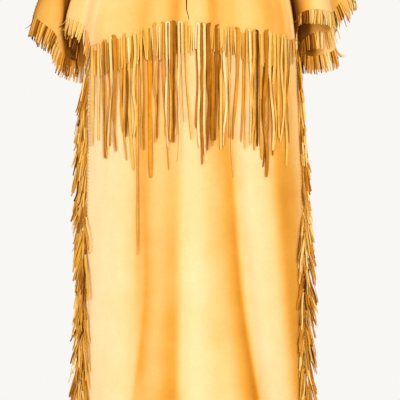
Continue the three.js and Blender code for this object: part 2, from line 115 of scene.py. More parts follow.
# Brain-tanned, smoked deerskin: suede on both faces. Its colour runs from golden tan to deeper orange along
# a painted-shade attribute, and is darkened further as painted shade where pieces lie close together.
def suede(name, look):
    material = bpy.data.materials.new(name)
    material.use_nodes = True
    tree = material.node_tree
    tree.nodes.clear()
    place = add(tree, "ShaderNodeTexCoord").outputs["Object"]
    fold = add(tree, "ShaderNodeAttribute", {"attribute_name": look["shadeBy"]}).outputs["Fac"]
    clouds = add(tree, "ShaderNodeTexNoise", links={
        "Vector": place, "Scale": 1 / (look["cloudSize"] * mm), "Detail": 3, "Roughness": 0.55})
    mottle = add(tree, "ShaderNodeTexNoise", links={
        "Vector": place, "Scale": 1 / (look["mottleSize"] * mm), "Detail": 4, "Roughness": 0.6})
    cloudy = add(tree, "ShaderNodeMath", {"operation": "MULTIPLY_ADD"}, {
        0: clouds.outputs["Fac"], 1: look["cloudAmount"], 2: -look["cloudAmount"] / 2})
    deep = add(tree, "ShaderNodeMath", {"operation": "ADD", "use_clamp": True}, {
        0: fold, 1: cloudy.outputs[0]})
    colours = add(tree, "ShaderNodeValToRGB", links={"Fac": deep.outputs[0]})
    ramp = colours.color_ramp
    while len(ramp.elements) < len(look["colours"]):
        ramp.elements.new(0.5)
    for element, (at, colour) in zip(ramp.elements, look["colours"]):
        element.position = at
        element.color = linear(colour)
    patchy = add(tree, "ShaderNodeMapRange", links={
        "Value": mottle.outputs["Fac"], "From Min": 0.3, "From Max": 0.7,
        "To Min": 1 - look["mottleAmount"], "To Max": 1 + look["mottleAmount"]})
    # painted shade: ambient occlusion darkens the colour where pieces lie close together
    beside = add(tree, "ShaderNodeAmbientOcclusion", {"samples": 8}, {"Distance": look["occlusionShadeReach"] * mm})
    unoccluded = add(tree, "ShaderNodeMapRange", links={
        "Value": beside.outputs["AO"], "From Min": 0.25, "From Max": 0.85})
    occlusionShadeColour = look["occlusionShadeColour"]  # painted shade: the warm tint the colour takes where pieces lie close together
    depth = add(tree, "ShaderNodeVectorMath", {"operation": "MULTIPLY_ADD"}, {
        0: unoccluded.outputs["Result"], 1: [1 - part for part in occlusionShadeColour], 2: occlusionShadeColour})
    occlusionShaded = add(tree, "ShaderNodeVectorMath", {"operation": "MULTIPLY"}, {
        0: colours.outputs["Color"], 1: depth.outputs[0]})
    coloured = add(tree, "ShaderNodeVectorMath", {"operation": "SCALE"}, {
        0: occlusionShaded.outputs[0], "Scale": patchy.outputs["Result"]})
    nap = add(tree, "ShaderNodeTexNoise", links={
        "Vector": place, "Scale": 1 / (look["napSize"] * mm), "Detail": 3, "Roughness": 0.7})
    pebble = add(tree, "ShaderNodeTexNoise", links={
        "Vector": place, "Scale": 1 / (look["pebbleSize"] * mm), "Detail": 2, "Roughness": 0.5})
    height = add(tree, "ShaderNodeMath", {"operation": "MULTIPLY_ADD"}, {
        0: pebble.outputs["Fac"], 1: look["pebbleAmount"], 2: nap.outputs["Fac"]})
    bump = add(tree, "ShaderNodeBump", links={
        "Height": height.outputs[0], "Strength": look["bump"], "Distance": look["napHeight"] * mm})
    rough = add(tree, "ShaderNodeMapRange", links={
        "Value": nap.outputs["Fac"],
        "To Min": look["roughness"] - 0.06, "To Max": look["roughness"] + 0.04})
    shader = add(tree, "ShaderNodeBsdfPrincipled", links={
        "Base Color": coloured.outputs[0], "Roughness": rough.outputs["Result"], "Normal": bump.outputs[0],
        "Specular IOR Level": 0.18, "IOR": 1.5, "Sheen Weight": look["sheen"], "Sheen Roughness": 0.45,
        "Sheen Tint": linear(look["sheenColour"])})
    add(tree, "ShaderNodeOutputMaterial", links={"Surface": shader.outputs[0]})
    return material


hideLook = {
    "shadeBy": "paintedShade",
    "colours": [(0, "#FBE2B4"), (0.3, "#F8CD88"), (0.65, "#E8A642"), (1, "#C67C1A")],
    "cloudSize": 95, "cloudAmount": 0.3, "mottleSize": 7, "mottleAmount": 0.03,
    "napSize": 1.3, "napHeight": 0.35, "pebbleSize": 3.2, "pebbleAmount": 1.2, "bump": 0.45,
    "occlusionShadeReach": 9, "occlusionShadeColour": (0.62, 0.44, 0.22), "roughness": 0.93,
    "sheen": 0.08, "sheenColour": "#FFDFA0",
}
stripLook = {
    **hideLook, "shadeBy": "tone", "occlusionShadeReach": 6, "occlusionShadeColour": (0.42, 0.25, 0.1),
    "colours": [(0, "#FDE6AE"), (0.3, "#F7C664"), (0.6, "#E39B26"), (0.8, "#B87010"), (1, "#663806")],
    "cloudSize": 30, "cloudAmount": 0.16, "mottleSize": 4, "mottleAmount": 0.06,
}
skirtSuede = suede("smoked deerskin suede, skirt", hideLook)
yokeSuede = suede("smoked deerskin suede, yoke", {
    **hideLook, "cloudAmount": 0.19, "occlusionShadeReach": 11,
    "colours": [(0, "#FFE2B0"), (0.12, "#FACF88"), (0.38, "#F5BC62"), (0.69, "#DC942C"), (1, "#7A4A0A")]})
fringeSuede = suede("deerskin suede cut in strips", stripLook)
thongSuede = suede("deerskin thongs", {**stripLook, "mottleSize": 9, "mottleAmount": 0.1})
weltSuede = suede("deerskin suede welt strips", {
    **stripLook,
    "colours": [(0, "#FADC92"), (0.3, "#E4AA3E"), (0.6, "#C27C1C"), (0.8, "#90540E"), (1, "#5A3006")]})
sinew = suede("twisted sinew", {
    **stripLook, "colours": [(0, "#EBD3A2"), (1, "#C99A58")], "roughness": 0.7})
print("materials made")


# skirt: two hides joined at the sides
skirt = {
    "topDrop": 288, "hemDrop": 1290, "thick": 2, "seamGap": 0.15, "columns": 150, "rows": 200,
    "broadUneven": 1.3, "broadSize": 62, "fineUneven": 0.35, "fineSize": 19,
}
# drop below the shoulders, half width to the left and right, depth of the front and back
skirtLevels = np.array([
    (288, 257, 252, 58, 48),
    (400, 261, 256, 60, 50),
    (560, 264, 263, 61, 51),
    (830, 268, 270, 64, 54),
    (1000, 271, 270, 67, 57),
    (1290, 278, 274, 72, 62),
], float)
# each hanging fold: x of its ridge at the four drops, its height there, and the widths of its two sides
foldDrops = (330, 640, 960, 1290)
frontFolds = [
    ((-214, -218, -212, -206), (2, 2, 3, 5), 24, 30),
    ((-94, -100, -98, -104), (5, 11, 9, 6), 40, 20),
    ((-31, -31, -28, -36), (6, 8, 10, 17), 34, 14),
    ((58, 94, 128, 166), (7, 15, 18, 22), 48, 16),
    ((200, 230, 250, 264), (6, 13, 14, 12), 36, 14),
]
backFolds = [
    ((-196, -206, -214, -222), (4, 8, 12, 12), 16, 30),
    ((-104, -116, -130, -142), (7, 12, 16, 20), 17, 44),
    ((-8, -14, -22, -34), (5, 10, 12, 15), 30, 18),
    ((86, 96, 110, 128), (7, 12, 13, 18), 42, 17),
    ((178, 196, 208, 214), (5, 10, 14, 12), 30, 16),
]
# smaller ridges between them, written in the same way
frontRidges = [
    ((-172, -188, -184, -178), (0.5, 1.2, 1.6, 2), 18, 14),
    ((-72, -74, -78, -84), (0.3, 0.8, 1, 1.4), 16, 10),
    ((12, 28, 48, 74), (0.3, 0.9, 1.4, 2), 24, 12),
    ((30, 62, 92, 118), (0.2, 0.6, 1.2, 1.6), 18, 12),
    ((120, 142, 176, 206), (0.4, 1.2, 1.3, 1.4), 20, 12),
]
backRidges = [
    ((-152, -164, -172, -186), (1, 1.6, 2, 2), 12, 18),
    ((-58, -66, -78, -90), (0.6, 1.4, 1.8, 2.4), 14, 20),
    ((38, 42, 52, 48), (1, 1.4, 1.6, 2.4), 18, 14),
    ((132, 148, 160, 172), (0.6, 1.2, 2, 2), 20, 12),
]
# painted shade on the flanks of the folds, deepest on the flanks turned away from the key light: a strength
# from 0 to 1 stands in place of the height
frontPaintedShade = [
    ((-206, -212, -208, -214), (0.1, 0.04, 0.02, 0.02), 20, 26),
    ((-160, -168, -160, -150), (0.2, 0.08, 0.1, 0.1), 22, 22),
    ((-118, -130, -130, -116), (0.42, 0.48, 0.34, 0.16), 12, 26),
    ((-46, -48, -50, -52), (0.3, 0.34, 0.58, 0.8), 30, 13),
    ((34, 40, 48, 58), (0.05, 0.1, 0.12, 0.14), 20, 16),
    ((52, 82, 108, 158), (0.45, 0.6, 0.66, 0.78), 32, 13),
    ((196, 212, 238, 272), (0.56, 0.78, 0.76, 0.7), 20, 34),
    ((120, 148, 176, 196), (0.1, 0.06, 0.06, 0.08), 20, 20),
    ((-118, -122, -117, -158), (0.02, 0.1, 0.22, 0.26), 4, 12),  # and two creases
    ((52, 86, 113, 168), (0, 0.08, 0.24, 0.34), 9, 3.5),
]
backPaintedShade = [
    ((-206, -216, -222, -230), (0.2, 0.3, 0.4, 0.44), 26, 22),
    ((-88, -96, -106, -116), (0.3, 0.44, 0.5, 0.6), 12, 34),
    ((-24, -34, -42, -56), (0.14, 0.3, 0.36, 0.44), 24, 12),
    ((66, 74, 86, 104), (0.26, 0.36, 0.44, 0.56), 30, 12),
    ((160, 176, 188, 196), (0.2, 0.34, 0.46, 0.44), 26, 14),
]


def level(column, drop):
    return through(skirtLevels[:, 0], skirtLevels[:, column], drop)


def rise(drops, folds, x, drop):  # how high the ridges of a table stand at a point
    total = 0
    for where, height, leftSide, rightSide in folds:
        away = x - through(drops, where, drop)
        flank = np.where(away < 0, leftSide, rightSide)
        total = total + through(drops, height, drop) / np.cosh(away / flank)
    return total


def skirtOut(side, x, drop, lift=0.0):  # how far the front (side -1) or back (side 1) stands out
    half = np.where(x < 0, level(1, drop), level(2, drop))
    across = np.minimum(np.abs(x) / half, 1)
    folds = frontFolds + frontRidges if side < 0 else backFolds + backRidges
    broad = skirt["broadUneven"] * lumps(x, drop * 0.6, skirt["broadSize"], 3 + side)
    fine = skirt["fineUneven"] * lumps(x, drop * 0.8, skirt["fineSize"], 9 + side)
    uneven = broad + fine
    depth = level(3 if side < 0 else 4, drop)
    return depth * (1 - across**3) + (rise(foldDrops, folds, x, drop) + uneven) * (1 - across**8) + lift


def skirtPoints(side, x, drop, lift=0.0):
    out = skirtOut(side, x, drop, lift)
    return np.stack([x + 0 * out, side * out, -drop + 0 * out], -1)


insideShade = 0.4  # painted shade: the inner faces, turned into the dress, are painted that much deeper


# A hide as a closed thin wall round a grid of middle points, columns first. A hide with a slit has two
# grids that part along the slit and share their points below its end.
def hideWall(name, grids, thick, material, values={}):
    points, faces, kept = [], [], {key: [] for key in values}
    start = 0

    def quads(a, b, c, d):
        faces.extend(np.stack([a, b, c, d], -1).reshape(-1, 4).tolist())

    for g, (middle, normal, rows) in enumerate(grids):
        columns, count = middle.shape[:2]
        index = np.arange(columns * count).reshape(columns, count)
        outer, inner = start + index, start + columns * count + index
        points += [middle + normal * thick / 2, middle - normal * thick / 2]
        for key in values:
            shade = values[key][g].ravel()
            kept[key] += [shade, np.minimum(shade + insideShade, 1)]
        quads(outer[:-1, :-1], outer[:-1, 1:], outer[1:, 1:], outer[1:, :-1])
        quads(inner[:-1, :-1], inner[1:, :-1], inner[1:, 1:], inner[:-1, 1:])
        quads(outer[:-1, 0], outer[1:, 0], inner[1:, 0], inner[:-1, 0])
        quads(outer[1:, -1], outer[:-1, -1], inner[:-1, -1], inner[1:, -1])
        first, last = rows
        quads(outer[0, 1:first], outer[0, :first - 1], inner[0, :first - 1], inner[0, 1:first])
        quads(outer[-1, :last - 1], outer[-1, 1:last], inner[-1, 1:last], inner[-1, :last - 1])
        start += 2 * columns * count
    made = meshObject(name, np.concatenate([p.reshape(-1, 3) for p in points]), faces,
                      values={key: np.concatenate(v) for key, v in kept.items()})
    return finishMesh(made, material)


def finishMesh(made, material, sharp=50):  # doubles merged, smooth but for real edges, and its material
    work = bmesh.new()
    work.from_mesh(made.data)
    bmesh.ops.remove_doubles(work, verts=work.verts, dist=1e-6)
    work.to_mesh(made.data)
    work.free()
    made.data.shade_smooth()
    made.data.set_sharp_from_angle(angle=math.radians(sharp))
    made.data.materials.clear()
    made.data.materials.append(material)
    return made


def gridNormals(points):  # of a grid of columns first, from its neighbours
    return unit(np.cross(np.gradient(points, axis=1), np.gradient(points, axis=0)))


def skirtHide(name, side):
    drop = np.linspace(skirt["topDrop"], skirt["hemDrop"], skirt["rows"] + 1)[None, :]
    across = np.linspace(-1, 1, skirt["columns"] + 1)[:, None] * -side
    x = across * np.where(across < 0, level(1, drop), level(2, drop))
    out = skirtOut(side, x, drop)
    middle = np.stack([x, side * np.maximum(out, skirt["seamGap"]), -drop + 0 * x], -1)
    sideways = np.stack([np.sign(across) + 0 * x, 0 * x, 0 * x], -1)
    atSeam = (np.abs(across) ** 30 + 0 * x)[..., None]
    normal = unit(blend(gridNormals(middle), sideways, atSeam))
    # painted shade: darker colour on the flanks of the folds
    paintedShade = np.clip(rise(foldDrops, frontPaintedShade if side < 0 else backPaintedShade, x, drop), 0, 1)
    rows = skirt["rows"] + 1
    grid = (middle, normal, (rows, rows))
    return hideWall(name, [grid], skirt["thick"], skirtSuede, {"paintedShade": [paintedShade]})


skirtFront = skirtHide("skirtFront", -1)
skirtBack = skirtHide("skirtBack", 1)
print("skirt hides made")


# yoke: a cape over the shoulders, whose edge hangs in wings at the arms
yoke = {
    "thick": 2, "lift": 6, "perRib": 9, "rows": 64, "seamGap": 0.15,
    "broadUneven": 1.6, "broadSize": 58, "fineUneven": 0.4, "fineSize": 17,
    "evenSmoke": 0.12, "paintedLightFrom": (8.6, 9.1), "paintedLightTo": (9.8, 10.4),  # evenSmoke is the yoke's base colour level; from and to bound a patch painted paler, as painted light where the hide turns from the key light
}
neck = {"wide": 80, "deep": 52, "sideDrop": 12, "frontDrop": 80, "backDrop": 34}
shoulder = {"wide": 222, "front": 66, "back": 60, "sideDrop": 46, "frontDrop": 112, "backDrop": 84}
slit = {
    "nearRib": 14.4, "search": 1.4, "leftRibs": 15,  # ribs' worth of columns to the left of the slit
    "x": -19, "endX": -13.4, "bendFrom": 0.88, "topWidth": 9, "endWidth": 1.7, "endDrop": 284,
}
onSkirt = None  # in place of a rib's y where the hide lies on the skirt
# each rib: the direction in which it leaves the neck, and where it meets the edge (x, y and drop)
ribs = [
    (180, -399, 8, 272), (186, -389, -30, 274), (192, -360, -54, 296), (197, -336, -50, 318),
    (201, -325, -32, 358), (205, -294, -4, 377), (209, -282, -26, 350), (213, -309, -54, 286),
    (217, -292, -74, 286), (221, -264, -74, 304), (225, -246, onSkirt, 354), (236, -194, onSkirt, 331),
    (246, -140, onSkirt, 322), (253, -108, onSkirt, 306), (262, -44, onSkirt, 300), (272, 20, onSkirt, 304),
    (288, 104, onSkirt, 314), (306, 180, onSkirt, 321), (315, 216, onSkirt, 326), (321, 242, -46, 328),
    (326, 246, -8, 300), (331, 254, -46, 272), (336, 276, -70, 262), (341, 306, -74, 262),
    (346, 332, -54, 266), (351, 342, -18, 256), (356, 368, -6, 224),
    (360, 394, 12, 212), (365, 366, 26, 234), (370, 334, 13, 300), (374, 298, 8, 305),
    (378, 266, 32, 330), (383, 286, 56, 358), (389, 338, 58, 350), (395, 356, 78, 332),
    (402, 318, 100, 338), (409, 268, 84, 350), (416, 226, onSkirt, 350), (434, 120, onSkirt, 338),
    (452, 0, onSkirt, 332), (470, -130, onSkirt, 340), (484, -222, onSkirt, 352), (492, -268, 74, 384),
    (500, -304, 66, 374), (508, -334, 64, 334), (517, -362, 54, 300), (527, -388, 32, 278),
]
frontRibs = 27  # the rest are the back's
# soft ridges down the yoke where it lies on the skirt, and its painted shade, written like the skirt's
yokeDrops = (130, 240, 330)
frontYokeFolds = [
    ((-140, -172, -186), (2, 3, 3), 30, 20), ((-84, -98, -104), (3, 4, 3), 30, 16),
    ((-20, -24, -26), (3, 5, 4), 17, 12), ((40, 58, 62), (3, 5, 4), 16, 13),
    ((80, 98, 104), (1, 2, 2), 18, 12), ((150, 192, 204), (3, 5, 5), 34, 16),
]
frontYokePaintedShade = [
    ((-92, -114, -122), (0.2, 0.36, 0.3), 22, 16), ((-34, -42, -44), (0.3, 0.56, 0.5), 16, 12),
    ((28, 42, 46), (0.3, 0.58, 0.5), 10, 16), ((74, 88, 92), (0.1, 0.2, 0.2), 12, 12),
    ((140, 174, 184), (0.2, 0.4, 0.36), 22, 22), ((196, 236, 246), (0.3, 0.7, 0.7), 18, 18),
]
backYokeFolds = [
    ((-140, -170, -186), (3, 5, 5), 20, 30), ((-70, -84, -90), (3, 6, 5), 14, 24),
    ((-20, -26, -30), (2, 3, 3), 12, 16), ((40, 52, 60), (3, 6, 5), 26, 16),
    ((108, 128, 136), (2, 4, 4), 28, 14), ((164, 188, 198), (3, 6, 5), 30, 14),
]
backYokePaintedShade = [
    ((-158, -186, -204), (0.2, 0.4, 0.4), 22, 20), ((-54, -68, -74), (0.3, 0.56, 0.5), 12, 18),
    ((22, 36, 44), (0.3, 0.5, 0.5), 20, 12), ((94, 112, 120), (0.2, 0.4, 0.4), 18, 12),
    ((148, 172, 180), (0.3, 0.5, 0.5), 20, 14),
]
# painted shade, in the same way, for the free edges at the arms, where the rib stands for x, the share of
# the way to the edge stands for the drop, and a strength below 0 is painted paler
wingSteps = (0.78, 1)
wingPaintedShade = [
    ((0.7, 0.7), (1, 1), 0.8, 0.6), ((3.4, 4.8), (1.6, 1.5), 0.54, 1.4),
    ((2.6, 2.6), (-0.2, -0.1), 0.4, 0.4), ((20, 20.2), (0.6, 0.6), 0.6, 0.5),
    ((29.6, 29.8), (-0.4, -0.6), 0.9, 0.9), ((32.4, 32.6), (0.7, 0.6), 1, 1),
    ((44.6, 44.6), (0.2, 0.4), 2.2, 2.2),
]

fullTurn = len(ribs)  # there the first rib comes again
ribKnots = np.arange(fullTurn + 1)
ribs.append((ribs[0][0] + 360, *ribs[0][1:]))
ribAngle = [r[0] for r in ribs]
ribX = [r[1] for r in ribs]
ribDrop = [r[3] for r in ribs]
ribLies = [float(r[2] is onSkirt) for r in ribs]
ribY = [skirtPoints(-1 if r[0] < 360 else 1, np.float64(r[1]), np.float64(r[3]), yoke["lift"])[1]
        if r[2] is onSkirt else r[2] for r in ribs]


def yokeEdge(u):
    x, drop = through(ribKnots, ribX, u), through(ribKnots, ribDrop, u)
    free = through(ribKnots, ribY, u)
    lies = np.clip(through(ribKnots, ribLies, u), 0, 1)
    laid = np.where(u < frontRibs, -skirtOut(-1, x, drop, yoke["lift"]), skirtOut(1, x, drop, yoke["lift"]))
    return np.stack([x, blend(free, laid, lies), -drop], -1)


def yokePoints(u, v):  # u counts ribs round the neck, v runs from the neck to the edge
    u, v = np.broadcast_arrays(u, v)
    angle = np.radians(through(ribKnots, ribAngle, u))
    across, back = np.cos(angle), np.sin(angle)
    front = back < 0
    neckDrop = blend(neck["sideDrop"], np.where(front, neck["frontDrop"], neck["backDrop"]), back**2)
    middleDrop = np.where(front, shoulder["frontDrop"], shoulder["backDrop"])
    shoulderDrop = blend(shoulder["sideDrop"], middleDrop, back**2)
    top = np.stack([neck["wide"] * across, neck["deep"] * back, -neckDrop], -1)
    deep = np.where(front, shoulder["front"], shoulder["back"])
    over = np.stack([shoulder["wide"] * across, deep * back, -shoulderDrop], -1)
    edge = yokeEdge(u)
    hang = blend(over, edge, np.array([0.8, 0.85, 0.34]))
    v = v[..., None]
    w = 1 - v
    return top * w**3 + over * 3 * w**2 * v + hang * 3 * w * v**2 + edge * v**3


def yokeShape(u, v):  # points with folds and unevenness, outward normals, and the painted shade there
    step = 0.004
    points = yokePoints(u, v)
    along = yokePoints(np.minimum(u + step, fullTurn), v) - yokePoints(np.maximum(u - step, 0), v)
    down = yokePoints(u, np.minimum(v + step, 1)) - yokePoints(u, np.maximum(v - step, 0))
    normal = unit(np.cross(down, along))
    x, drop = points[..., 0], -points[..., 2]
    lies = np.clip(through(ribKnots, ribLies, u), 0, 1) + 0 * x
    seam = np.minimum(np.abs(u), np.minimum(np.abs(u - frontRibs), np.abs(u - fullTurn)))  # ribs away
    grow = ease(0.28, 0.62, v) * (1 - 0.6 * ease(0.85, 1, v)) * lies

    def laid(frontTable, backTable):
        front, back = rise(yokeDrops, frontTable, x, drop), rise(yokeDrops, backTable, x, drop)
        return np.where(u < frontRibs, front, back)

    def reach(at):  # how far from the dress's middle line the hide hangs at a rib
        return np.linalg.norm(yokePoints(np.clip(at, 0, fullTurn), v)[..., :2], axis=-1)

    height = laid(frontYokeFolds, backYokeFolds)
    laidShade = laid(frontYokePaintedShade, backYokePaintedShade)
    broad = yoke["broadUneven"] * lumps(x, drop + points[..., 1], yoke["broadSize"], 21)
    fine = yoke["fineUneven"] * lumps(x, drop - points[..., 1], yoke["fineSize"], 22)
    rough = (broad + fine) * ease(0, 0.25, v) * (1 - 0.8 * ease(0.85, 1, v))
    hanging = (1 - lies) * ease(0.25, 0.5, v)
    beside = 0.5 * (reach(u - 1.5) + reach(u + 1.5))
    free = 0.1 + (beside - reach(u)) / 30 - 0.2 * normal[..., 0]  # painted shade: deeper in the valleys between ribs, and on faces turned from the key light
    free = free + rise(wingSteps, wingPaintedShade, u, v) * ease(0.55, 0.85, v)
    shade = np.clip(laidShade * lies * ease(0.2, 0.5, v) + hanging * free, 0, 1)
    # painted light: a paler patch on the yoke's left front, where the hide turns away from the key light
    paintedLight = ease(*yoke["paintedLightFrom"], u) * (1 - ease(*yoke["paintedLightTo"], u)) * ease(0.4, 0.6, v)
    moved = (height * grow + rough) * ease(0, 1.2, seam)
    return points + normal * moved[..., None], normal, blend(yoke["evenSmoke"] * (1 - paintedLight), 1, shade)


def yokeHide(name, firstRib, lastRib, slitAt=None):
    v = np.linspace(0, 1, yoke["rows"] + 1)[None, :]
    rows = yoke["rows"] + 1
    if slitAt is None:
        count = (lastRib - firstRib) * yoke["perRib"]
        parts = [(np.linspace(firstRib, lastRib, count + 1)[:, None] + 0 * v, rows, rows)]
    else:  # two halves whose inner columns follow the slit's sides, and meet below it
        fine = np.linspace(slitAt - slit["search"], slitAt + slit["search"], 400)
        sides = []
        for way in (-1, 1):
            side = np.empty(rows)
            for j in range(rows):
                line = yokePoints(fine, np.full_like(fine, v[0, j]))
                drop = -line[:, 2]
                part = (drop - neck["frontDrop"]) / (slit["endDrop"] - neck["frontDrop"])
                middle = blend(slit["x"], slit["endX"], ease(slit["bendFrom"], 1, part))
                half = blend(slit["topWidth"], slit["endWidth"], np.clip(part, 0, 1)) / 2 * (part < 1)
                side[j] = np.interp(0, line[:, 0] - middle - way * half, fine)
            sides.append(side)
        centre = 0.5 * (sides[0] + sides[1])
        last = int((sides[1] - sides[0] > 1e-4).sum()) + 1  # rows above the slit's end
        leftCount = slit["leftRibs"] * yoke["perRib"]
        rightCount = (frontRibs - slit["leftRibs"]) * yoke["perRib"]
        left = firstRib + (sides[0] - firstRib) * np.linspace(0, 1, leftCount + 1)[:, None]
        right = lastRib - (lastRib - sides[1]) * np.linspace(1, 0, rightCount + 1)[:, None]
        left[-1, last - 1:] = centre[last - 1:]
        right[0, last - 1:] = centre[last - 1:]
        parts = [(left, rows, last), (right, last, rows)]
    grids, shades = [], []
    for where, first, last in parts:
        points, normal, shade = yokeShape(where, v + 0 * where)
        grids.append((points, normal, (first, last)))
        shades.append(shade)
    leftPart, rightPart = grids[0][0], grids[-1][0]  # they stop just short of the other hide
    leftPart[0] += unit(leftPart[1] - leftPart[0]) * yoke["seamGap"]
    rightPart[-1] += unit(rightPart[-2] - rightPart[-1]) * yoke["seamGap"]
    return hideWall(name, grids, yoke["thick"], yokeSuede, {"paintedShade": shades})


yokeFront = yokeHide("yokeFront", 0, frontRibs, slitAt=slit["nearRib"])
yokeBack = yokeHide("yokeBack", frontRibs, fullTurn)
print("yoke hides made")


# strips of hide, swept along paths by one node tree
def stripTree(name):
    tree = bpy.data.node_groups.new(name, "GeometryNodeTree")
    face = tree.interface
    face.new_socket("Geometry", in_out="INPUT", socket_type="NodeSocketGeometry")
    face.new_socket("Thickness share", in_out="INPUT", socket_type="NodeSocketFloat").default_value = 0.24
    face.new_socket("Twist", in_out="INPUT", socket_type="NodeSocketFloat").default_value = 0.6
    face.new_socket("Seed", in_out="INPUT", socket_type="NodeSocketInt").default_value = 4
    face.new_socket("Material", in_out="INPUT", socket_type="NodeSocketMaterial")
    face.new_socket("Geometry", in_out="OUTPUT", socket_type="NodeSocketGeometry")
    given = add(tree, "NodeGroupInput").outputs
    facing = add(tree, "GeometryNodeInputNamedAttribute", {"data_type": "FLOAT_VECTOR"}, {"Name": "facing"})
    width = add(tree, "GeometryNodeInputNamedAttribute", {"data_type": "FLOAT"}, {"Name": "width"})
    strand = add(tree, "GeometryNodeInputNamedAttribute", {"data_type": "FLOAT"}, {"Name": "strand"})
    paths = add(tree, "GeometryNodeMeshToCurve", links={"Mesh": given["Geometry"]})
    turned = add(tree, "GeometryNodeSetCurveNormal", {"mode": "FREE"}, {
        "Curve": paths.outputs[0], "Normal": facing.outputs["Attribute"]})
    part = add(tree, "GeometryNodeSplineParameter")
    number = add(tree, "FunctionNodeFloatToInt", links={"Float": strand.outputs["Attribute"]})
    most = add(tree, "ShaderNodeMath", {"operation": "MULTIPLY"}, {0: given["Twist"], 1: -1.0})
    chance = add(tree, "FunctionNodeRandomValue", {"data_type": "FLOAT"})
    ranges = [s for s in chance.inputs if s.enabled]
    tree.links.new(most.outputs[0], ranges[0])
    tree.links.new(given["Twist"], ranges[1])
    tree.links.new(number.outputs[0], chance.inputs["ID"])
    tree.links.new(given["Seed"], chance.inputs["Seed"])
    picked = [s for s in chance.outputs if s.enabled][0]
    turn = add(tree, "ShaderNodeMath", {"operation": "MULTIPLY"}, {0: part.outputs["Factor"], 1: picked})
    twisted = add(tree, "GeometryNodeSetCurveTilt", links={
        "Curve": turned.outputs[0], "Tilt": turn.outputs[0]})
    profile = add(tree, "GeometryNodeCurvePrimitiveQuadrilateral", links={
        "Width": given["Thickness share"], "Height": 1.0})
    swept = add(tree, "GeometryNodeCurveToMesh", links={
        "Curve": twisted.outputs[0], "Profile Curve": profile.outputs[0],
        "Scale": width.outputs["Attribute"], "Fill Caps": True})
    made = add(tree, "GeometryNodeRealizeInstances", links={"Geometry": swept.outputs[0]})
    painted = add(tree, "GeometryNodeSetMaterial", links={
        "Geometry": made.outputs[0], "Material": given["Material"]})
    add(tree, "NodeGroupOutput", links={"Geometry": painted.outputs[0]})
    return tree


# runs the tree on a mesh and keeps the result as a plain mesh
def grown(name, made, tree, material, **inputs):
    modifier = made.modifiers.new(name, "NODES")
    modifier.node_group = tree
    for item in tree.interface.items_tree:
        if item.in_out == "INPUT" and item.name in inputs:
            modifier[item.identifier] = inputs[item.name]
        elif item.in_out == "INPUT" and item.name == "Material":
            modifier[item.identifier] = material
    bpy.context.view_layer.update()
    shaped = made.evaluated_get(bpy.context.evaluated_depsgraph_get())
    plain = bpy.data.meshes.new_from_object(shaped)
    made.modifiers.remove(modifier)
    made.data = plain
    plain.name = name
    for extra in ("facing", "width", "strand"):
        if extra in plain.attributes:
            plain.attributes.remove(plain.attributes[extra])
    return finishMesh(made, material, sharp=40)


cutStrips = stripTree("cut strips")
stripThickness = 0.3  # share of a strip's width


# paths and facing are arrays by strand, step and axis, width is by strand and step, and tone by strand
def strips(name, paths, facing, width, tone, material, twist, seed):
    count, steps = paths.shape[:2]
    index = np.arange(count * steps).reshape(count, steps)
    edges = np.stack([index[:, :-1], index[:, 1:]], -1).reshape(-1, 2).tolist()
    values = {
        "facing": facing.reshape(-1, 3), "width": width.ravel() * mm,
        "tone": np.repeat(tone, steps), "strand": np.repeat(np.arange(count), steps).astype(float),
    }
    line = meshObject(name, paths, edges=edges, values=values)
    return grown(name, line, cutStrips, material, Twist=twist, Seed=seed,
                 **{"Thickness share": stripThickness})


# short fringe, cut in the yoke's own edge
shortFringe = {
    "root": 3, "steps": 9, "widths": (0.84, 1.16), "taper": 0.84, "layer": (4.4, 7.6),
    "gravity": 0.14, "sway": 0.3, "curl": 0.42, "curled": 0.03, "curledAtSpots": 0.75, "curledLength": 0.75,
    "turned": 0.28,  # share of the strips painted darker, as painted shade for strips turned out of the light
    "tone": 0.125, "hideShadeTone": 0.625, "curledTone": 0.24, "paintedDarkTone": 0.5, "toneSpread": 0.16,
}
# in the valleys of the wings the strips hang along the hide in place of standing square to its edge
valleys = ((5.6, 7.6), (19.4, 21.6), (30.2, 31.8), (44.2, 45.2))
curlSpots = ((5.7, 7.1), (27.8, 29.2), (33.4, 34.8), (43.7, 44.9))  # and here many are short and rolled up
# share of the pitch that a strip takes at a rib: slack layers of the right sleeve have narrow strips
fillTable = (
    (0, 0.94), (20.5, 0.94), (21.5, 0.76), (24.6, 0.76), (25.5, 0.94), (28.4, 0.9), (29, 0.76),
    (30.8, 0.76), (31.5, 0.94), (47, 0.94),
)
# length of the strips at a rib
shortLengths = (
    (0, 46), (3, 46), (4, 42), (5, 43), (8, 42), (9, 46), (10, 62), (11, 74), (12, 72), (13.5, 76),
    (14.4, 68), (15.5, 60), (16.3, 70), (17.2, 76), (18, 86), (19, 58), (20, 36), (22, 35), (24, 37),
    (26, 34), (27, 34), (28, 46), (29, 44), (31, 44), (35, 48), (38, 58), (40, 60), (41, 56), (42, 44),
    (43, 46), (44, 68), (45, 58), (46, 48), (47, 44),
)


def atSpots(spots, soft, u):  # 1 between the two ribs of a spot, and 0 away from all of them
    return sum(ease(low - soft, low + soft, u) * (1 - ease(high - soft, high + soft, u))
               for low, high in spots)


